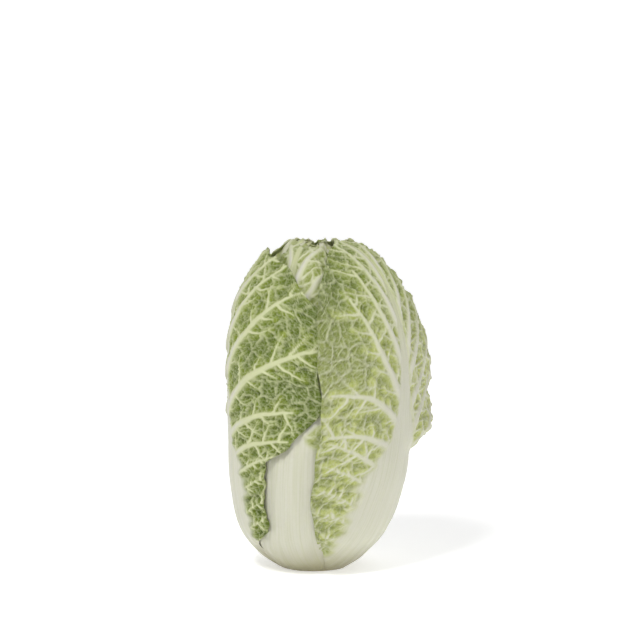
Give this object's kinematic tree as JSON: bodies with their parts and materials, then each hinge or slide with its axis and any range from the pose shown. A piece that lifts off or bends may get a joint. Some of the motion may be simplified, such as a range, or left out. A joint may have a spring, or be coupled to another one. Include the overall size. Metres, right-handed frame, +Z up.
{
  "type": "chinese cabbage head",
  "caption": "Upright head of Chinese white cabbage with overlapping crinkled leaves, thick pale leaf stalks and a flat trimmed butt that it stands on.",
  "frame": {"origin": "on the surface the head stands on, under the middle of its bounding box", "axes": "+Z up along the head from the cut butt to the crown, -Y the front that faces the viewer, +X the viewer's right"},
  "size_m": [0.1844, 0.1532, 0.2958],
  "materials": {
    "leaf": "satin, waxy leaf skin",
    "heart": "satin, pale yellow young leaf",
    "stem": "matt, cut stem"
  },
  "bodies": {
    "root": {"outer_leaf_right": "leaf", "outer_leaf_left": "leaf", "outer_leaf_back": "leaf", "outer_leaf_front": "leaf", "outer_leaf_back_right": "leaf", "outer_leaf_back_left": "leaf", "wrapper_leaf_front_left": "leaf", "wrapper_leaf_right": "leaf", "wrapper_leaf_back": "leaf", "inner_leaf_01": "leaf", "inner_leaf_02": "leaf", "inner_leaf_03": "leaf", "inner_leaf_04": "leaf", "inner_leaf_05": "leaf", "inner_leaf_06": "leaf", "inner_leaf_07": "leaf", "inner_leaf_08": "leaf", "inner_leaf_09": "leaf", "inner_leaf_10": "leaf", "inner_leaf_11": "leaf", "inner_leaf_12": "leaf", "inner_leaf_13": "leaf", "inner_leaf_14": "leaf", "inner_leaf_15": "leaf", "inner_leaf_16": "leaf", "inner_leaf_17": "leaf", "inner_leaf_18": "leaf", "inner_leaf_19": "leaf", "heart": "heart", "stem_core": "stem"}
  },
  "joints": []
}
